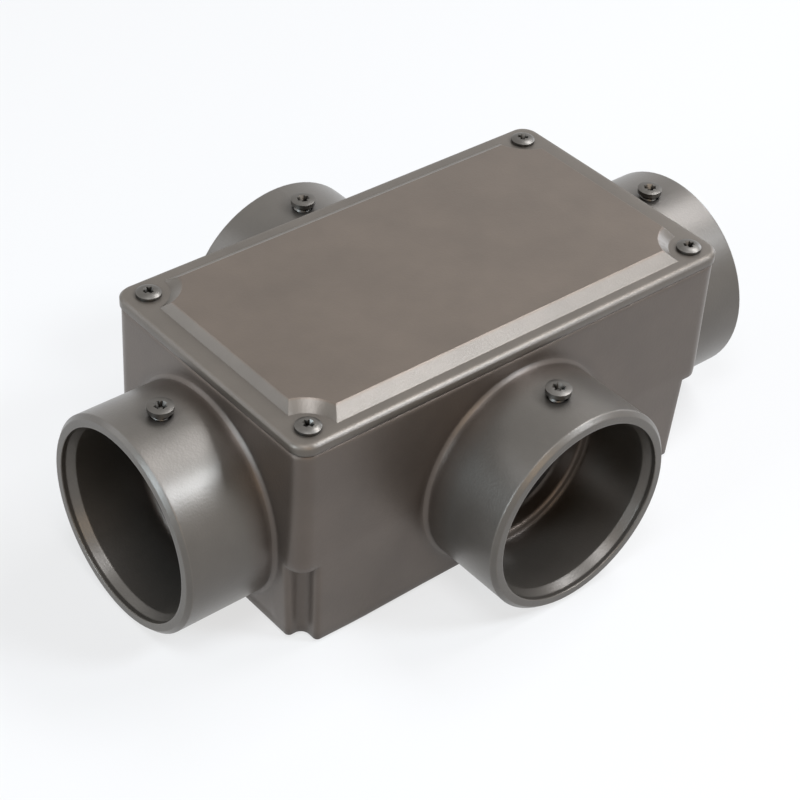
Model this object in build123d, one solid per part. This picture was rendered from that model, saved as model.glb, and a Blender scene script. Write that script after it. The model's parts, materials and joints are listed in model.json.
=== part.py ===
"""Four-way conduit body with set-screw hubs, a screwed-down cover and its gasket.

Frame: the origin is on the ground under the middle of the body, +Z points up
out of the cover, X runs along the long side and Y along the short side.
Left is -X, right is +X, front is -Y and back is +Y. Lengths are millimetres.
"""
from math import radians, sqrt, tan
import os

from build123d import *

# Conduit that the hubs take, 2 inch trade size thin-wall steel tube
conduit_diameter = 55.8
conduit_clearance = 0.3

# Hubs
hub_wall = 4.8
hub_projection = 28.6
hub_ground_gap = 0.3
hub_root_bevel = 1.0
hub_rim_bevel = 1.3
conduit_depth = 26.0
stop_lip = 2.7
lead_step = 1.2
lead_step_depth = 1.6
lead_cone_depth = 2.6

# Body box
body_length = 157.0
body_width = 86.4
rim_above_hubs = 5.3
body_wall = 3.5
floor_thickness = 3.5
corner_radius = 5.0
cavity_corner_radius = 2.5
foot_inset_end = 3.0
foot_inset_side = 1.0
base_bevel = 1.0

# Reliefs under the corner columns, outside the lower half of the box
relief_length = 6.8
relief_width = 5.7
relief_draft_angle = 2.8
relief_fillet = 2.8
relief_drop = 3.0
relief_edge_round = 1.4

# Cover screws and the corner bosses that they screw into
screw_inset_end = 7.2
screw_inset_side = 6.6
boss_reach = 5.6
cover_screw_radius = 2.0
cover_screw_length = 15.0
cover_head_radius = 4.1
cover_head_height = 1.6
cover_head_draft = 0.5
tapped_depth = 13.5
thread_clearance = 0.05
cover_hole_clearance = 0.25

# Gasket
gasket_thickness = 0.6
gasket_setback = 0.8
gasket_inner_margin = 0.4

# Cover, with a raised panel scooped out round the corner screws
cover_overhang = 0.5
cover_edge_thickness = 3.2
cover_edge_bevel = 0.8
panel_height = 2.7
panel_wall = 2.8
panel_inset_end = 6.5
panel_inset_side = 4.2
panel_slope_end = 2.4
panel_slope_side = 4.0
scoop_inset_end = 5.0
scoop_inset_side = 4.2
scoop_radius = 10.0
scoop_slope = 3.4
pocket_margin = 2.5

# Hub set screws
set_screw_radius = 3.0
set_head_radius = 3.8
set_head_height = 1.7
set_head_draft = 0.3
set_head_gap = 1.5
set_tip_gap = 0.3

# Cross recess in every screw head
recess_span = 4.4
recess_width = 1.0
recess_depth = 1.2

# Sizes worked out from the ones above
bore_radius = conduit_diameter / 2 + conduit_clearance
hub_radius = bore_radius + hub_wall
stop_radius = bore_radius - stop_lip
axis_height = hub_radius + hub_ground_gap
body_height = axis_height + hub_radius + rim_above_hubs
end_mouth = body_length / 2 + hub_projection
side_mouth = body_width / 2 + hub_projection
gasket_width = body_wall - gasket_setback - gasket_inner_margin
screw_x = body_length / 2 - screw_inset_end
screw_y = body_width / 2 - screw_inset_side
cover_underside = body_height + gasket_thickness
cover_top = cover_underside + cover_edge_thickness
cover_half_length = body_length / 2 + cover_overhang
cover_half_width = body_width / 2 + cover_overhang
hub_crest = axis_height + hub_radius
relief_top = axis_height - relief_drop

parting_plane = Plane.XY.offset(axis_height)
foot_plane = Plane.XY.offset(base_bevel + hub_root_bevel)

# The hubs by name: direction of the mouth in plan, in degrees, how far out it is, and
# how far the face that it stands on leans in at the ground
hubs = {
    "left": (180, end_mouth, foot_inset_end),
    "right": (0, end_mouth, foot_inset_end),
    "front": (-90, side_mouth, foot_inset_side),
    "back": (90, side_mouth, foot_inset_side),
}
corners = {
    "front_left": (-1, -1),
    "front_right": (1, -1),
    "back_left": (-1, 1),
    "back_right": (1, 1),
}
ON_BASE = (Align.CENTER, Align.CENTER, Align.MIN)


def at_hub(shape, direction):
    """Turn a shape made along +X round the middle of the body to a hub."""
    return shape.rotate(Axis.Z, direction)


def along_hub(profile):
    """Spin a closed profile of (distance along +X, radius) about the hub axis."""
    points = [(x, axis_height + radius) for x, radius in profile]
    face = Plane.XZ * make_face(Polyline(*points, close=True))
    return revolve(face, Axis((0, 0, axis_height), (1, 0, 0)))


def rounded_box(length, width, low, high, radius):
    """An upright box about the Z axis with rounded vertical corners."""
    outline = Plane.XY.offset(low) * RectangleRounded(length, width, radius)
    return extrude(outline, high - low)


def box_outside():
    """The outside of the box: straight above the hub axes, tapered and relieved below them."""
    upper = rounded_box(body_length, body_width, axis_height, body_height, corner_radius)
    belt = loft([belt_outline(relief_top), belt_outline(axis_height)], ruled=True)
    foot = loft([foot_outline(0), foot_outline(relief_top)], ruled=True)
    foot = chamfer(foot.faces().sort_by(Axis.Z)[0].edges(), base_bevel)
    return upper + belt + foot


def half_size(height):
    """Half the length and width of the tapered part of the box at a height."""
    share = 1 - height / axis_height
    return body_length / 2 - foot_inset_end * share, body_width / 2 - foot_inset_side * share


def belt_outline(height):
    """The box in plan where its corners are whole."""
    half_length, half_width = half_size(height)
    return Plane.XY.offset(height) * RectangleRounded(2 * half_length, 2 * half_width, corner_radius)


def foot_outline(height):
    """The box in plan where its corners are left out. The reliefs have draft, so they widen downwards."""
    half_length, half_width = half_size(height)
    draft = (relief_top - height) * tan(radians(relief_draft_angle))
    step_x = body_length / 2 - relief_length - draft
    step_y = body_width / 2 - relief_width - draft
    outline = Rectangle(2 * half_length, 2 * step_y) + Rectangle(2 * step_x, 2 * half_width)
    outline = fillet(outline.vertices().sort_by_distance((0, 0, 0))[len(corners):], relief_edge_round)
    outline = fillet(outline.vertices().sort_by_distance((0, 0, 0))[:len(corners)], relief_fillet)
    return Plane.XY.offset(height) * outline


def hub_outside(mouth):
    """One hub's outer wall with its bevelled rim, running into the box."""
    start = mouth - hub_projection - body_wall
    rim = mouth - hub_rim_bevel
    return along_hub([
        (start, 0), (mouth, 0), (mouth, hub_radius - hub_rim_bevel), (rim, hub_radius), (start, hub_radius),
    ])


def root_bevels(mouth, taper):
    """The bevel at a hub's root, in two halves. The lower one leans with the face of the box."""
    root = mouth - hub_projection
    ends = [(root - hub_root_bevel, hub_radius + 2 * hub_root_bevel), (root + hub_root_bevel, hub_radius)]
    collar = along_hub([(ends[0][0], 0), ends[0], ends[1], (ends[1][0], 0)])
    outlines = []
    for x, radius in ends:
        bar = along_hub([(0, 0), (mouth, 0), (mouth, radius), (0, radius)])
        half_bar = split(bar, bisect_by=parting_plane, keep=Keep.BOTTOM)
        lean = Plane(origin=(x, 0, axis_height), z_dir=(axis_height, 0, -taper))
        outlines.append(section(half_bar, section_by=lean))
    upper = split(collar, bisect_by=parting_plane, keep=Keep.TOP)
    lower = split(loft(outlines, ruled=True), bisect_by=foot_plane, keep=Keep.TOP)
    return [upper, lower]


def shell():
    """The casting before it is hollowed."""
    body = box_outside()
    for direction, mouth, taper in hubs.values():
        for piece in [hub_outside(mouth)] + root_bevels(mouth, taper):
            body += at_hub(piece, direction)
    return body


def hub_bore(mouth):
    """The way through one hub: lead-in, conduit socket, stop lip and box wall."""
    step = mouth - lead_step_depth
    cone = step - lead_cone_depth
    stop = mouth - conduit_depth
    inside = mouth - hub_projection - 2 * body_wall
    lead_radius = bore_radius + lead_step
    return along_hub([
        (inside, 0), (mouth, 0), (mouth, lead_radius), (step, lead_radius),
        (cone, bore_radius), (stop, bore_radius), (stop, stop_radius), (inside, stop_radius),
    ])


def set_screw_place(mouth):
    """Half way along the hub, measured from the middle of the body."""
    return mouth - hub_projection / 2


def set_screw_hole(mouth):
    """The tapped hole through the crest of a hub."""
    hole = Cylinder(set_screw_radius + thread_clearance, 2 * hub_wall, align=ON_BASE)
    return Pos(set_screw_place(mouth), 0, hub_crest - 1.5 * hub_wall) * hole


def rim_outline(inset, reach):
    """A rectangle inside the box's outline that steps in round the corner bosses."""
    length = body_length - 2 * inset
    width = body_width - 2 * inset
    step = Rectangle(2 * (screw_inset_end + reach - inset), 2 * (screw_inset_side + reach - inset))
    outline = Rectangle(length, width)
    for side_x, side_y in corners.values():
        outline -= Pos(side_x * length / 2, side_y * width / 2) * step
    return outline


def housing():
    """The casting: box, corner bosses and four hubs in one piece."""
    body = shell()
    hollow = fillet(rim_outline(body_wall, boss_reach).vertices(), cavity_corner_radius)
    body -= extrude(Plane.XY.offset(floor_thickness) * hollow, body_height)
    for direction, mouth, taper in hubs.values():
        body -= at_hub(hub_bore(mouth) + set_screw_hole(mouth), direction)
    tapped = Cylinder(cover_screw_radius + thread_clearance, 2 * tapped_depth)
    for side_x, side_y in corners.values():
        body -= Pos(side_x * screw_x, side_y * screw_y, body_height) * tapped
    return body


def gasket():
    """A flat strip on the rim of the box that passes inside the cover screws."""
    inner_reach = boss_reach - gasket_inner_margin
    outside = rim_outline(gasket_setback, inner_reach - gasket_width)
    inside = rim_outline(gasket_setback + gasket_width, inner_reach)
    return extrude(Plane.XY.offset(body_height) * (outside - inside), gasket_thickness)


def panel_outline(half_length, half_width, radius, height):
    """A rectangle with its corners scooped out by arcs round the screw places."""
    centre_x = cover_half_length - scoop_inset_end
    centre_y = cover_half_width - scoop_inset_side
    end_y = centre_y - sqrt(radius**2 - (centre_x - half_length) ** 2)
    side_x = centre_x - sqrt(radius**2 - (centre_y - half_width) ** 2)
    middle_x = centre_x - radius / sqrt(2)
    middle_y = centre_y - radius / sqrt(2)
    corner = [(half_length, end_y), (middle_x, middle_y), (side_x, half_width)]
    turns = [(1, 1), (-1, 1), (-1, -1), (1, -1)]
    lines = []
    ends = []
    for mirror_x, mirror_y in turns:
        points = [(x * mirror_x, y * mirror_y) for x, y in corner]
        if mirror_x * mirror_y < 0:
            points.reverse()
        lines.append(ThreePointArc(*points))
        ends.append((points[0], points[-1]))
    for index in range(len(turns)):
        lines.append(Line(ends[index][1], ends[(index + 1) % len(turns)][0]))
    return Plane.XY.offset(height) * make_face(lines)


def cover():
    """The lid: a flat rim, a raised panel with sloping sides and a pocket beneath it."""
    length = 2 * cover_half_length
    width = 2 * cover_half_width
    lid = rounded_box(length, width, cover_underside, cover_top, corner_radius + cover_overhang)
    lid = chamfer(lid.faces().sort_by(Axis.Z)[-1].edges(), cover_edge_bevel)
    low_x = cover_half_length - panel_inset_end
    low_y = cover_half_width - panel_inset_side
    low = panel_outline(low_x, low_y, scoop_radius, cover_top)
    high_x = low_x - panel_slope_end
    high_y = low_y - panel_slope_side
    high = panel_outline(high_x, high_y, scoop_radius + scoop_slope, cover_top + panel_height)
    lid += loft([low, high], ruled=True)
    pocket_depth = panel_height + cover_edge_thickness - panel_wall
    pocket = panel_outline(
        low_x - pocket_margin, low_y - pocket_margin, scoop_radius + pocket_margin, cover_underside
    )
    lid -= extrude(pocket, pocket_depth)
    hole = Cylinder(cover_screw_radius + cover_hole_clearance, 4 * cover_edge_thickness)
    for side_x, side_y in corners.values():
        lid -= Pos(side_x * screw_x, side_y * screw_y, cover_underside) * hole
    return lid


def cross_recess(top):
    """The cross-shaped hollow that a screwdriver turns."""
    arm = Box(recess_span, recess_width, 2 * recess_depth)
    return Pos(0, 0, top) * (arm + arm.rotate(Axis.Z, 90))


def spun(profile):
    """Spin a closed profile of (radius, height) about the Z axis."""
    face = Plane.XZ * make_face(Polyline(*profile, close=True))
    return revolve(face, Axis.Z)


def cover_screw():
    """A pan-head screw, point down, with the underside of its head at height zero."""
    screw = spun([
        (0, -cover_screw_length), (cover_screw_radius, -cover_screw_length),
        (cover_screw_radius, 0), (cover_head_radius, 0),
        (cover_head_radius - cover_head_draft, cover_head_height), (0, cover_head_height),
    ])
    return screw - cross_recess(cover_head_height)


def set_screw():
    """A short cheese-head screw, point down, with the underside of its head at height zero."""
    length = hub_wall + set_head_gap - set_tip_gap
    screw = spun([
        (0, -length), (set_screw_radius, -length), (set_screw_radius, 0), (set_head_radius, 0),
        (set_head_radius - set_head_draft, set_head_height), (0, set_head_height),
    ])
    return screw - cross_recess(set_head_height)


nodes = {"housing": housing(), "gasket": gasket(), "cover": cover()}
for name, (side_x, side_y) in corners.items():
    place = Pos(side_x * screw_x, side_y * screw_y, cover_top)
    nodes[f"cover_screw_{name}"] = place * cover_screw()
for name, (direction, mouth, taper) in hubs.items():
    place = Pos(set_screw_place(mouth), 0, hub_crest + set_head_gap)
    nodes[f"set_screw_{name}"] = at_hub(place * set_screw(), direction)

os.makedirs("parts", exist_ok=True)
for name, shape in nodes.items():
    export_step(shape, f"parts/{name}.step")
    print(name, "volume", round(shape.volume), "mm3")
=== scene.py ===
# %% [markdown]
# # A four-way conduit body in cast aluminium
# Electricians fit this box where four runs of conduit meet. A casting with four hubs
# holds the wires, a lid closes it on a gasket, and each hub has a set screw that clamps
# the tube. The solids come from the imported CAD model, which is loaded first and never
# moved. Everything in this script is in metres, in the same frame.

# %% Load the solids
import json
import math

import bpy
from mathutils import Matrix, Vector

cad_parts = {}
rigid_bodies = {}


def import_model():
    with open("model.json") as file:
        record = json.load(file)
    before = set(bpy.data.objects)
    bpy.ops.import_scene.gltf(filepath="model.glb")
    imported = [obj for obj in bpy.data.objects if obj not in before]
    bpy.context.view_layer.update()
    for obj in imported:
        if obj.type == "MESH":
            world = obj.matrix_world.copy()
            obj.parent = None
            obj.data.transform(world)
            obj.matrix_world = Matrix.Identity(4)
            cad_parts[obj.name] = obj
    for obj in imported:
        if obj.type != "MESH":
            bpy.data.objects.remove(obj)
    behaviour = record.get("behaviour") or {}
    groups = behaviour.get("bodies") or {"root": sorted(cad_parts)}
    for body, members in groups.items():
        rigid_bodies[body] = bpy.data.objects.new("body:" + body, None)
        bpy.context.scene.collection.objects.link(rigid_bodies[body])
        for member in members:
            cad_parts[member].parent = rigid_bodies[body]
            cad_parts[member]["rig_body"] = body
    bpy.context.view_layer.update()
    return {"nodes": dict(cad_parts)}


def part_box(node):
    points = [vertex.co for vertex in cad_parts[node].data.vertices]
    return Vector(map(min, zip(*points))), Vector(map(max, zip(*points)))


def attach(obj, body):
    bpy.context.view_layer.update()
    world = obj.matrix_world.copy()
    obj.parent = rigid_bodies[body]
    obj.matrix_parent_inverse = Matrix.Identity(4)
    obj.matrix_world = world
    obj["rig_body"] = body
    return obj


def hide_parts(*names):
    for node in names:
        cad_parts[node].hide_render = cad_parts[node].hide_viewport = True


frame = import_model()
scene = bpy.context.scene
MM = 0.001
print("nodes:", ", ".join(sorted(frame["nodes"])))

# %% [markdown]
# ## Camera
# A product photograph is taken from a distance with a long lens, so that parallel edges
# stay almost parallel. The place was worked out from the corners of the box: 42 degrees
# round to the left, 38 degrees up, and turned by 4 degrees about the line of sight.

# %% Camera
AZIMUTH, ELEVATION, ROLL = (math.radians(angle) for angle in (-42.134, 38.447, 3.887))
CAMERA_PLACE = (-0.34658, -0.37592, 0.43314)
LENS_MM = 97.02
SENSOR_MM = 36
back = Vector((
    math.sin(AZIMUTH) * math.cos(ELEVATION),
    -math.cos(AZIMUTH) * math.cos(ELEVATION),
    math.sin(ELEVATION),
))
level = back.cross(Vector((0, 0, -1))).normalized()
upright = back.cross(level)
right = level * math.cos(ROLL) + upright * math.sin(ROLL)
above = upright * math.cos(ROLL) - level * math.sin(ROLL)
camera_data = bpy.data.cameras.new("camera")
camera_data.lens = LENS_MM
camera_data.sensor_width = SENSOR_MM
camera = bpy.data.objects.new("camera", camera_data)
scene.collection.objects.link(camera)
aimed = Matrix((right, above, back)).transposed().to_4x4()
camera.matrix_world = Matrix.Translation(CAMERA_PLACE) @ aimed
scene.camera = camera
scene.view_settings.view_transform = "Standard"
print("camera looks along", [round(c, 3) for c in -back])

# %% [markdown]
# ## Small helpers
# One function turns the hex colours that people read into the linear values that Blender
# mixes light with. Another adds a node, sets it up and wires it, for shaders and for
# Geometry Nodes alike. Some sockets of a node share a name, so these are given by number:
# five of the node that maps one range to another, and those of the node that mixes colours.

# %% Helpers
VALUE, FROM_MIN, FROM_MAX, TO_MIN, TO_MAX = range(5)
FACTOR, COLOUR_A, COLOUR_B = 0, 6, 7
MIXED_COLOUR = 2


def linear(hex_colour):
    """An sRGB hex colour as linear red, green, blue and alpha."""
    parts = [int(hex_colour[i:i + 2], 16) / 255 for i in (1, 3, 5)]
    return [c / 12.92 if c <= 0.04045 else ((c + 0.055) / 1.055) ** 2.4 for c in parts] + [1.0]


def add_node(tree, kind, inputs=None, **settings):
    """A new node with its settings. An input gets a value, a socket, or a node's first output."""
    node = tree.nodes.new(kind)
    for name, value in settings.items():
        setattr(node, name, value)
    for name, value in (inputs or {}).items():
        if isinstance(value, bpy.types.Node):
            value = value.outputs[0]
        if isinstance(value, bpy.types.NodeSocket):
            tree.links.new(value, node.inputs[name])
        else:
            node.inputs[name].default_value = value
    return node


def new_material(name):
    """An empty node material, and its tree."""
    material = bpy.data.materials.new(name)
    material.use_nodes = True
    material.node_tree.nodes.clear()
    return material, material.node_tree


print("helpers ready")

# %% [markdown]
# ## Sky and floor
# The object stands on a plain white floor under a white sky. Both look white to the
# camera, in reflections and through clear pieces, but they light the casting only a
# little, so that the lamps shape it. The light path tells which kind of ray asks.

# %% Rays that see the white studio
def seen_rays(tree):
    """One for rays from the camera, a reflection or a clear piece, and zero for all others."""
    rays = add_node(tree, "ShaderNodeLightPath").outputs
    seen = add_node(tree, "ShaderNodeMath", {
        0: rays["Is Camera Ray"], 1: rays["Is Glossy Ray"],
    }, operation="ADD")
    return add_node(tree, "ShaderNodeMath", {
        0: seen, 1: rays["Is Transmission Ray"],
    }, operation="ADD", use_clamp=True)


print("sky and floor tell seen rays from the rest")

# %% World
SKY_LIGHT = 0.1
SKY_SEEN = 1.0
world = bpy.data.worlds.new("studio")
scene.world = world
world.use_nodes = True
tree = world.node_tree
tree.nodes.clear()
brightness = add_node(tree, "ShaderNodeMapRange", {
    VALUE: seen_rays(tree), TO_MIN: SKY_LIGHT, TO_MAX: SKY_SEEN,
})
sky = add_node(tree, "ShaderNodeBackground", {"Color": (1, 1, 1, 1), "Strength": brightness})
add_node(tree, "ShaderNodeOutputWorld", {"Surface": sky})
print("the sky lights at", SKY_LIGHT, "and is seen at", SKY_SEEN)

# %% [markdown]
# The floor is a dull grey that takes the lamps' light and the object's shadow, and a glow
# lifts it to white. The lamps don't reach the far floor, so the glow grows with distance
# until the floor meets the sky without an edge. The floor lies just under the object.

# %% Floor
FLOOR_GREY = 0.2
NEAR_GLOW, FAR_GLOW = 0.68, 0.98
GLOW_STARTS, GLOW_ENDS = 0.4, 1.6
FLOOR_HALF = 4.0
FLOOR_HEIGHT = -0.2 * MM
floor_material, tree = new_material("studio_floor")
matt = add_node(tree, "ShaderNodeBsdfDiffuse", {"Color": (FLOOR_GREY, FLOOR_GREY, FLOOR_GREY, 1)})
on_floor = add_node(tree, "ShaderNodeTexCoord").outputs["Object"]
away = add_node(tree, "ShaderNodeVectorMath", {0: on_floor}, operation="LENGTH").outputs["Value"]
strength = add_node(tree, "ShaderNodeMapRange", {
    VALUE: away, FROM_MIN: GLOW_STARTS, FROM_MAX: GLOW_ENDS, TO_MIN: NEAR_GLOW, TO_MAX: FAR_GLOW,
})
glow = add_node(tree, "ShaderNodeEmission", {"Strength": strength})
glowing = add_node(tree, "ShaderNodeAddShader", {0: matt, 1: glow})
surface = add_node(tree, "ShaderNodeMixShader", {0: seen_rays(tree), 1: matt, 2: glowing})
add_node(tree, "ShaderNodeOutputMaterial", {"Surface": surface})
quarters = ((-1, -1), (1, -1), (1, 1), (-1, 1))
corners = [(x * FLOOR_HALF, y * FLOOR_HALF, FLOOR_HEIGHT) for x, y in quarters]
floor_mesh = bpy.data.meshes.new("floor")
floor_mesh.from_pydata(corners, [], [(0, 1, 2, 3)])
floor_mesh.materials.append(floor_material)
floor = bpy.data.objects.new("floor", floor_mesh)
scene.collection.objects.link(floor)
print("floor", 2 * FLOOR_HALF, "metres wide")

# %% [markdown]
# ## Lamps
# Seven soft boxes stand round the object at one distance. Two keys at the upper right put
# the bright line on the long bevel of the lid and the shine along the end hubs. One above
# lights the top, a wide one at the left lights the end of the box, and one behind it brings
# up the short bevel and the left flank of the front hub. Weaker ones fill the right and the
# front, where a warm one keeps the long face brown.

# %% Lamps
LAMP_DISTANCE = 1.5
LAMPS = {
    # name: direction from the object, width, length, power in watts, colour
    "key_strip": ((0.56, -0.03, 0.83), 0.40, 0.72, 13.5, "#F8FAFF"),
    "key_end": ((0.45, -0.56, 0.70), 0.40, 0.34, 15.0, "#ECF5FF"),
    "top_box": ((-0.30, -0.27, 0.91), 0.45, 0.45, 9.0, "#F4F8FF"),
    "right_low": ((0.95, 0.15, 0.27), 0.50, 0.50, 4.0, "#EEF5FF"),
    "left_wide": ((-0.95, 0.00, 0.31), 0.60, 0.60, 14.0, "#DDF0FF"),
    "left_back": ((-0.62, 0.62, 0.46), 0.60, 0.60, 2.5, "#EEF5FF"),
    "front_fill": ((-0.30, -0.80, 0.50), 0.60, 0.60, 3.0, "#FFDDB0"),
}
aim_point = Vector((0, 0, 35 * MM))
for name, (direction, width, length, power, colour) in LAMPS.items():
    lamp_data = bpy.data.lights.new(name, "AREA")
    lamp_data.shape = "RECTANGLE"
    lamp_data.size = width
    lamp_data.size_y = length
    lamp_data.energy = power
    lamp_data.color = linear(colour)[:3]
    lamp = bpy.data.objects.new(name, lamp_data)
    scene.collection.objects.link(lamp)
    toward = Vector(direction).normalized()
    along = (Vector((0, 1, 0)) - toward * toward.y).normalized()
    aimed = Matrix((along.cross(toward), along, toward)).transposed().to_4x4()
    lamp.matrix_world = Matrix.Translation(aim_point + toward * LAMP_DISTANCE) @ aimed
print("lamps:", ", ".join(LAMPS))

# %% [markdown]
# ## Cast aluminium
# The body and the lid are cast in an aluminium alloy, blasted with grit and lacquered.
# The blasting leaves a satin skin with a fine grain, the alloy darkens unevenly, and the
# thin lacquer adds a highlight with no colour of its own. No edge of a casting is sharp:
# the Bevel node bends the light round each edge, by a wide radius where the hubs run into
# the box and round the lid's border, and by a narrow one elsewhere. Where that bend is
# strong, a painted highlight lightens the colour, and in hollow corners a painted shade
# darkens it. A painted reflection makes the flat faces browner than the hubs and the
# slopes of the lid.

# %% Cast aluminium
# Oxide and lacquer hide part of the bare metal
METAL_SHARE = 0.6
LACQUER_SHARE, LACQUER_ROUGHNESS = 0.4, 0.33
# Stains are about as wide as a fingertip, and grit is drawn coarser than it is, to show
STAIN_SIZE = 22 * MM
GRIT_SIZE, GRIT_HEIGHT = 0.7 * MM, 0.2 * MM
HOLLOW_REACH = 5 * MM
# Half the width of the change of edge radius and of colour at the border, and the height
# over which the colour changes, all in millimetres
RADIUS_BLEND, COLOUR_BLEND, HEIGHT_BLEND = 0.5, 4, 0.3


def cast_aluminium(name, warm_reflection_tone, neutral_sheen_and_unshaded, border, inside, outside, neutral_sheen_below):
    """Blasted casting, with a painted reflection in two colours. Lengths are in millimetres.

    A border (x, y) divides the edge radius inside from the edge radius outside. Past the
    border, and below the height given last, the colour is the neutral one, a painted
    reflection of neutral highlights; elsewhere it is the warm one, a painted reflection of
    warm surroundings.
    """
    material, tree = new_material(name)
    place = add_node(tree, "ShaderNodeTexCoord").outputs["Object"]
    x, y, z = add_node(tree, "ShaderNodeSeparateXYZ", {0: place}).outputs

    # How far a point lies past the border, and the soft edge that it gets there
    past = []
    for axis, limit in ((x, border[0]), (y, border[1])):
        distance = add_node(tree, "ShaderNodeMath", {0: axis}, operation="ABSOLUTE")
        past.append(add_node(tree, "ShaderNodeMath", {0: distance, 1: limit * MM}, operation="SUBTRACT"))
    beyond = add_node(tree, "ShaderNodeMath", {0: past[0], 1: past[1]}, operation="MAXIMUM")
    radius = add_node(tree, "ShaderNodeMapRange", {
        VALUE: beyond, FROM_MIN: -RADIUS_BLEND * MM, FROM_MAX: RADIUS_BLEND * MM,
        TO_MIN: inside * MM, TO_MAX: outside * MM,
    })
    soft = add_node(tree, "ShaderNodeBevel", {"Radius": radius}, samples=8)

    # The neutral colour lies low down and past the border, the warm one elsewhere: a painted reflection
    low = add_node(tree, "ShaderNodeMapRange", {
        VALUE: z, FROM_MIN: (neutral_sheen_below - HEIGHT_BLEND) * MM, FROM_MAX: neutral_sheen_below * MM,
        TO_MIN: 1.0, TO_MAX: 0.0,
    })
    far = add_node(tree, "ShaderNodeMapRange", {
        VALUE: beyond, FROM_MIN: -COLOUR_BLEND * MM, FROM_MAX: COLOUR_BLEND * MM,
    })
    neutral_sheen_mask = add_node(tree, "ShaderNodeMath", {0: low, 1: far}, operation="MAXIMUM")
    tone = add_node(tree, "ShaderNodeMix", {
        FACTOR: neutral_sheen_mask, COLOUR_A: linear(warm_reflection_tone), COLOUR_B: linear(neutral_sheen_and_unshaded),
    }, data_type="RGBA")

    # A painted highlight lightens edges that stand out, and a painted shade darkens hollows
    true_normal = add_node(tree, "ShaderNodeNewGeometry").outputs["Normal"]
    bend = add_node(tree, "ShaderNodeVectorMath", {0: soft, 1: true_normal}, operation="DOT_PRODUCT")
    painted_edge_highlight = add_node(tree, "ShaderNodeMapRange", {
        VALUE: bend.outputs["Value"], FROM_MIN: 1.0, FROM_MAX: 0.93, TO_MIN: 0.0, TO_MAX: 0.25,
    })
    openness = add_node(tree, "ShaderNodeAmbientOcclusion", {"Distance": HOLLOW_REACH}, samples=6)
    raised = add_node(tree, "ShaderNodeMapRange", {
        VALUE: openness.outputs["AO"], FROM_MIN: 0.93, FROM_MAX: 1.0,
    })
    painted_edge_highlight = add_node(tree, "ShaderNodeMath", {0: painted_edge_highlight, 1: raised}, operation="MULTIPLY")
    painted_hollow_shade = add_node(tree, "ShaderNodeMapRange", {
        VALUE: openness.outputs["AO"], FROM_MIN: 0.5, FROM_MAX: 0.97, TO_MIN: 0.38, TO_MAX: 0.0,
    })

    # Stains, the painted edge highlight and the painted shade in hollows together set the colour
    stains = add_node(tree, "ShaderNodeTexNoise", {
        "Vector": place, "Scale": 1 / STAIN_SIZE, "Detail": 5.0, "Roughness": 0.6,
    })
    shade = add_node(tree, "ShaderNodeMapRange", {
        VALUE: stains, FROM_MIN: 0.3, FROM_MAX: 0.7, TO_MIN: 0.88, TO_MAX: 1.1,
    })
    shade = add_node(tree, "ShaderNodeMath", {0: shade, 1: painted_edge_highlight}, operation="ADD")
    shade = add_node(tree, "ShaderNodeMath", {0: shade, 1: painted_hollow_shade}, operation="SUBTRACT")
    tone = add_node(tree, "ShaderNodeVectorMath", {
        0: tone.outputs[MIXED_COLOUR], "Scale": shade,
    }, operation="SCALE")

    # The grit's dents vary the gloss and the surface
    grit = add_node(tree, "ShaderNodeTexNoise", {"Vector": place, "Scale": 1 / GRIT_SIZE, "Detail": 2.0})
    gloss = add_node(tree, "ShaderNodeMapRange", {VALUE: grit, TO_MIN: 0.32, TO_MAX: 0.44})
    bump = add_node(tree, "ShaderNodeBump", {
        "Height": grit, "Normal": soft, "Strength": 0.2, "Distance": GRIT_HEIGHT,
    })
    skin = add_node(tree, "ShaderNodeBsdfPrincipled", {
        "Base Color": tone, "Roughness": gloss, "Metallic": METAL_SHARE, "Normal": bump,
        "Coat Weight": LACQUER_SHARE, "Coat Roughness": LACQUER_ROUGHNESS,
    })
    add_node(tree, "ShaderNodeOutputMaterial", {"Surface": skin})
    return material


# The warm colour on the flat faces and the neutral one on the hubs and the lid's slopes and rim are a
# painted reflection
body_metal = cast_aluminium(
    "blasted_cast_aluminium_body", warm_reflection_tone="#554B43", neutral_sheen_and_unshaded="#58534D",
    border=(84, 49), inside=3.0, outside=0.8, neutral_sheen_below=0,
)
lid_metal = cast_aluminium(
    "blasted_cast_aluminium_lid", warm_reflection_tone="#5C5147", neutral_sheen_and_unshaded="#5C554D",
    border=(76.2, 40.9), inside=0.4, outside=1.8, neutral_sheen_below=77.9,
)
print("made", body_metal.name, "and", lid_metal.name)

# %% [markdown]
# ## Zinc-plated steel
# The screws are steel with a dull zinc coat. It is a little smoother than the casting
# and cooler in tone, and handling leaves it cloudy. A painted shade darkens the colour
# where surfaces stand close together, as in the recess.

# %% Zinc-plated steel
CLOUD_SIZE = 2.5 * MM
RECESS_REACH = 1.5 * MM
screw_steel, tree = new_material("zinc_plated_steel")
place = add_node(tree, "ShaderNodeTexCoord").outputs["Object"]
cloud = add_node(tree, "ShaderNodeTexNoise", {"Vector": place, "Scale": 1 / CLOUD_SIZE, "Detail": 3.0})
zinc = add_node(tree, "ShaderNodeMix", {
    FACTOR: cloud, COLOUR_A: linear("#56534F"), COLOUR_B: linear("#6C6965"),
}, data_type="RGBA")
openness = add_node(tree, "ShaderNodeAmbientOcclusion", {"Distance": RECESS_REACH}, samples=8)
neutral_sheen_and_unshaded = add_node(tree, "ShaderNodeMapRange", {
    VALUE: openness.outputs["AO"], FROM_MIN: 0.35, FROM_MAX: 0.8,
})
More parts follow.
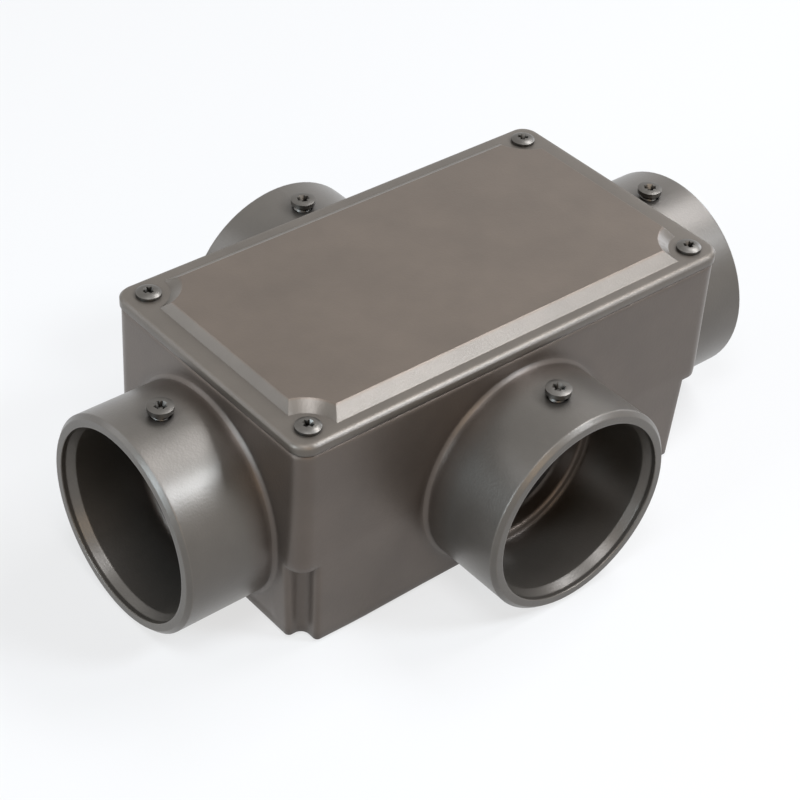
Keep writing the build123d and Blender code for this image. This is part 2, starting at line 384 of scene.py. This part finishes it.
# Where little is open, the colour falls to #1C1A18, a painted shade
zinc = add_node(tree, "ShaderNodeMix", {
    FACTOR: neutral_sheen_and_unshaded, COLOUR_A: linear("#1C1A18"), COLOUR_B: zinc.outputs[MIXED_COLOUR],
}, data_type="RGBA")
gloss = add_node(tree, "ShaderNodeMapRange", {VALUE: cloud, TO_MIN: 0.30, TO_MAX: 0.45})
skin = add_node(tree, "ShaderNodeBsdfPrincipled", {
    "Base Color": zinc.outputs[MIXED_COLOUR], "Roughness": gloss, "Metallic": 1.0,
})
add_node(tree, "ShaderNodeOutputMaterial", {"Surface": skin})
print("made", screw_steel.name)

# %% [markdown]
# ## Sheet rubber
# The gasket is cut from black rubber sheet. Only its edge shows, between the body and
# the lid. It isn't a metal, so its highlights are weak and have no colour.

# %% Sheet rubber
SPECK_SIZE, SPECK_HEIGHT = 0.8 * MM, 0.05 * MM
gasket_rubber, tree = new_material("sheet_rubber")
place = add_node(tree, "ShaderNodeTexCoord").outputs["Object"]
specks = add_node(tree, "ShaderNodeTexNoise", {"Vector": place, "Scale": 1 / SPECK_SIZE, "Detail": 2.0})
black = add_node(tree, "ShaderNodeMix", {
    FACTOR: specks, COLOUR_A: linear("#1B1A18"), COLOUR_B: linear("#33302C"),
}, data_type="RGBA")
bump = add_node(tree, "ShaderNodeBump", {"Height": specks, "Strength": 0.3, "Distance": SPECK_HEIGHT})
skin = add_node(tree, "ShaderNodeBsdfPrincipled", {
    "Base Color": black.outputs[MIXED_COLOUR], "Roughness": 0.75, "Normal": bump,
})
add_node(tree, "ShaderNodeOutputMaterial", {"Surface": skin})
print("made", gasket_rubber.name)

# %% Give each solid its material
FINISHES = {"housing": body_metal, "cover": lid_metal, "gasket": gasket_rubber}
for name, node in frame["nodes"].items():
    material = FINISHES.get(name, screw_steel)
    node.data.materials.clear()
    node.data.materials.append(material)
    print(name, "gets", material.name)

# %% [markdown]
# ## Screws
# Eight machine screws hold the part together: four pan heads on the lid and one set
# screw on the crest of each hub. All are the same shape at different sizes, so one
# Geometry Nodes tree makes them: a cylinder is domed into a head, a tapered cross is cut
# out of it, and a second cylinder gets a thread by moving its points out and in along a
# helix. The tree puts a screw on each point of the mesh that it is given.

# %% The tree's inputs
screw_tree = bpy.data.node_groups.new("machine_screw", "GeometryNodeTree")
LENGTHS = (
    "Head radius", "Head height", "Dome", "Thread radius", "Thread depth", "Pitch", "Length",
    "Recess span", "Recess width", "Recess depth",
)
SCREW_INPUTS = {
    "Points": "NodeSocketGeometry",
    **{name: "NodeSocketFloat" for name in LENGTHS},
    "Rings": "NodeSocketInt",
    "Turn": "NodeSocketFloat",
    "Finish": "NodeSocketMaterial",
}
screw_sockets = {
    name: screw_tree.interface.new_socket(name, in_out="INPUT", socket_type=kind).identifier
    for name, kind in SCREW_INPUTS.items()
}
screw_tree.interface.new_socket("Screws", in_out="OUTPUT", socket_type="NodeSocketGeometry")
given = add_node(screw_tree, "NodeGroupInput").outputs
where = add_node(screw_tree, "GeometryNodeInputPosition")
x, y, z = add_node(screw_tree, "ShaderNodeSeparateXYZ", {0: where}).outputs
print("a screw has", len(screw_sockets) - 1, "inputs")

# %% [markdown]
# The head starts as a plain cylinder of the head's radius and height. Every point of it
# sinks by an amount that grows towards the rim and towards the top, which leaves the
# middle of the top flat and rounds the rim off.

# %% The head, in millimetres
HEAD_SIDES, HEAD_STEPS = 48, 6
RIM_POWER, TOP_POWER = 4.0, 2.0
blank = add_node(screw_tree, "GeometryNodeMeshCylinder", {
    "Vertices": HEAD_SIDES, "Side Segments": HEAD_STEPS, "Fill Segments": HEAD_STEPS,
    "Radius": given["Head radius"], "Depth": given["Head height"],
})
half_height = add_node(screw_tree, "ShaderNodeMath", {0: given["Head height"], 1: 0.5}, operation="MULTIPLY")
lift = add_node(screw_tree, "ShaderNodeCombineXYZ", {"Z": half_height})
head = add_node(screw_tree, "GeometryNodeTransform", {"Geometry": blank, "Translation": lift})
flat = add_node(screw_tree, "ShaderNodeCombineXYZ", {"X": x, "Y": y})
across = add_node(screw_tree, "ShaderNodeVectorMath", {0: flat}, operation="LENGTH").outputs["Value"]
share = add_node(screw_tree, "ShaderNodeMath", {0: across, 1: given["Head radius"]}, operation="DIVIDE")
to_rim = add_node(screw_tree, "ShaderNodeMath", {0: share, 1: RIM_POWER}, operation="POWER")
share = add_node(screw_tree, "ShaderNodeMath", {0: z, 1: given["Head height"]}, operation="DIVIDE")
to_top = add_node(screw_tree, "ShaderNodeMath", {0: share, 1: TOP_POWER}, operation="POWER")
both = add_node(screw_tree, "ShaderNodeMath", {0: to_rim, 1: to_top}, operation="MULTIPLY")
sink = add_node(screw_tree, "ShaderNodeMath", {0: both, 1: given["Dome"]}, operation="MULTIPLY")
down = add_node(screw_tree, "ShaderNodeCombineXYZ", {"Z": sink})
sunk = add_node(screw_tree, "ShaderNodeVectorMath", {0: where, 1: down}, operation="SUBTRACT")
head = add_node(screw_tree, "GeometryNodeSetPosition", {"Geometry": head, "Position": sunk})
print("head made from", HEAD_SIDES, "sides")

# %% [markdown]
# The cross is two bars that narrow downwards, as the tip of a screwdriver does. They are
# cut out of the head with an exact boolean, which gives the recess real walls and a floor.

# %% The cross recess
# The bars reach as far above the head's top as into it, and have their full size there
FLOOR_SHARE, MOUTH_SHARE = 0.5, 1.5
double_depth = add_node(screw_tree, "ShaderNodeMath", {
    0: given["Recess depth"], 1: 2.0,
}, operation="MULTIPLY")
arm_size = add_node(screw_tree, "ShaderNodeCombineXYZ", {
    "X": given["Recess span"], "Y": given["Recess width"], "Z": double_depth,
})
arm = add_node(screw_tree, "GeometryNodeMeshCube", {"Size": arm_size})
bottom = add_node(screw_tree, "ShaderNodeMath", {0: given["Recess depth"], 1: -1.0}, operation="MULTIPLY")
narrowing = add_node(screw_tree, "ShaderNodeMapRange", {
    VALUE: z, FROM_MIN: bottom, FROM_MAX: given["Recess depth"], TO_MIN: FLOOR_SHARE, TO_MAX: MOUTH_SHARE,
})
squeeze = add_node(screw_tree, "ShaderNodeCombineXYZ", {"X": narrowing, "Y": narrowing, "Z": 1.0})
tapered = add_node(screw_tree, "ShaderNodeVectorMath", {0: where, 1: squeeze}, operation="MULTIPLY")
arm = add_node(screw_tree, "GeometryNodeSetPosition", {"Geometry": arm, "Position": tapered})
on_top = add_node(screw_tree, "ShaderNodeCombineXYZ", {"Z": given["Head height"]})
cut = add_node(screw_tree, "GeometryNodeMeshBoolean", {0: head}, operation="DIFFERENCE", solver="EXACT")
for turn in (0.0, math.pi / 2):
    placed = add_node(screw_tree, "GeometryNodeTransform", {
        "Geometry": arm, "Translation": on_top, "Rotation": (0, 0, turn),
    })
    screw_tree.links.new(placed.outputs[0], cut.inputs[1])
print("recess cut by", len(cut.inputs[1].links), "arms")

# %% [markdown]
# The shank starts as a cylinder one unit in radius with many rings. Going up the shank
# by one pitch, or once round it, passes one groove: the two are added, folded into a
# zigzag, and each point is moved that far in from the thread's crest.

# %% The threaded shank
SHANK_SIDES = 24
rod = add_node(screw_tree, "GeometryNodeMeshCylinder", {
    "Vertices": SHANK_SIDES, "Side Segments": given["Rings"], "Radius": 1.0, "Depth": given["Length"],
})
half_length = add_node(screw_tree, "ShaderNodeMath", {0: given["Length"], 1: -0.5}, operation="MULTIPLY")
lower = add_node(screw_tree, "ShaderNodeCombineXYZ", {"Z": half_length})
rod = add_node(screw_tree, "GeometryNodeTransform", {"Geometry": rod, "Translation": lower})
angle = add_node(screw_tree, "ShaderNodeMath", {0: y, 1: x}, operation="ARCTAN2")
turns_round = add_node(screw_tree, "ShaderNodeMath", {0: angle, 1: 2 * math.pi}, operation="DIVIDE")
turns_up = add_node(screw_tree, "ShaderNodeMath", {0: z, 1: given["Pitch"]}, operation="DIVIDE")
turns = add_node(screw_tree, "ShaderNodeMath", {0: turns_up, 1: turns_round}, operation="ADD")
zigzag = add_node(screw_tree, "ShaderNodeMath", {0: turns, 1: 0.5}, operation="PINGPONG")
groove = add_node(screw_tree, "ShaderNodeMath", {0: zigzag, 1: 2.0}, operation="MULTIPLY")
inward = add_node(screw_tree, "ShaderNodeMath", {0: groove, 1: given["Thread depth"]}, operation="MULTIPLY")
reach = add_node(screw_tree, "ShaderNodeMath", {0: given["Thread radius"], 1: inward}, operation="SUBTRACT")
stretch = add_node(screw_tree, "ShaderNodeCombineXYZ", {"X": reach, "Y": reach, "Z": 1.0})
threaded = add_node(screw_tree, "ShaderNodeVectorMath", {0: where, 1: stretch}, operation="MULTIPLY")
rod = add_node(screw_tree, "GeometryNodeSetPosition", {"Geometry": rod, "Position": threaded})
print("thread made from", SHANK_SIDES, "sides")

# %% [markdown]
# Head and shank are joined, shaded smooth except where two faces meet at more than 32
# degrees, and put on each point of the input mesh at a thousandth of the size, because
# the tree works in millimetres and the scene in metres.

# %% One screw on each point
SHARP_ANGLE = math.radians(32)
screw = add_node(screw_tree, "GeometryNodeJoinGeometry")
for part in (rod, cut):
    screw_tree.links.new(part.outputs[0], screw.inputs[0])
fold = add_node(screw_tree, "GeometryNodeInputMeshEdgeAngle")
sharp = add_node(screw_tree, "ShaderNodeMath", {0: fold, 1: SHARP_ANGLE}, operation="GREATER_THAN")
screw = add_node(screw_tree, "GeometryNodeSetShadeSmooth", {
    "Geometry": screw, "Shade Smooth": True,
}, domain="FACE")
screw = add_node(screw_tree, "GeometryNodeSetShadeSmooth", {
    "Geometry": screw, "Selection": sharp, "Shade Smooth": False,
}, domain="EDGE")
turned = add_node(screw_tree, "ShaderNodeCombineXYZ", {"Z": given["Turn"]})
screws = add_node(screw_tree, "GeometryNodeInstanceOnPoints", {
    "Points": given["Points"], "Instance": screw, "Rotation": turned, "Scale": (MM, MM, MM),
})
screws = add_node(screw_tree, "GeometryNodeRealizeInstances", {"Geometry": screws})
screws = add_node(screw_tree, "GeometryNodeSetMaterial", {"Geometry": screws, "Material": given["Finish"]})
add_node(screw_tree, "NodeGroupOutput", {0: screws})
print("the screw tree has", len(screw_tree.nodes), "nodes")

# %% [markdown]
# ## The eight screws
# Each screw rides on a body of its own, so the tree runs once for each with that screw's
# sizes. The result becomes a plain mesh that stands where its solid stands. Nobody turns
# eight screws to the same angle, so each recess has its own.

# %% Make and place the screws
# Sizes in millimetres, and turns in degrees
COVER_SCREW = {
    "Head radius": 3.7, "Head height": 1.6, "Dome": 0.7,
    "Thread radius": 1.98, "Thread depth": 0.35, "Pitch": 0.8, "Length": 15.0, "Rings": 112,
    "Recess span": 3.3, "Recess width": 1.4, "Recess depth": 1.3,
}
SET_SCREW = {
    "Head radius": 3.8, "Head height": 1.7, "Dome": 0.35,
    "Thread radius": 2.98, "Thread depth": 0.5, "Pitch": 1.27, "Length": 6.0, "Rings": 30,
    "Recess span": 3.7, "Recess width": 1.8, "Recess depth": 1.4,
}
COVER_SCREW_TURNS = {"front_left": 20, "front_right": 65, "back_left": 5, "back_right": 40}
SET_SCREW_TURNS = {"left": 12, "right": 50, "front": 33, "back": 71}


def make_screw(node, sizes, turn):
    """A detailed screw in place of one CAD screw, on that screw's own body."""
    low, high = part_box(node)
    place = ((low.x + high.x) / 2, (low.y + high.y) / 2, high.z - sizes["Head height"] * MM)
    seed = bpy.data.meshes.new(node + "_point")
    seed.from_pydata([place], [], [])
    holder = bpy.data.objects.new(node + "_holder", seed)
    scene.collection.objects.link(holder)
    modifier = holder.modifiers.new("machine_screw", "NODES")
    modifier.node_group = screw_tree
    values = dict(sizes, Turn=math.radians(turn), Finish=screw_steel)
    for name, value in values.items():
        modifier[screw_sockets[name]] = value
    ready = holder.evaluated_get(bpy.context.evaluated_depsgraph_get())
    mesh = bpy.data.meshes.new_from_object(ready)
    bpy.data.objects.remove(holder)
    piece = bpy.data.objects.new(node + "_detailed", mesh)
    scene.collection.objects.link(piece)
    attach(piece, frame["nodes"][node]["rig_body"])
    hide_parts(node)
    print(piece.name, len(mesh.polygons), "faces")


for corner, turn in COVER_SCREW_TURNS.items():
    make_screw(f"cover_screw_{corner}", COVER_SCREW, turn)
for side, turn in SET_SCREW_TURNS.items():
    make_screw(f"set_screw_{side}", SET_SCREW, turn)
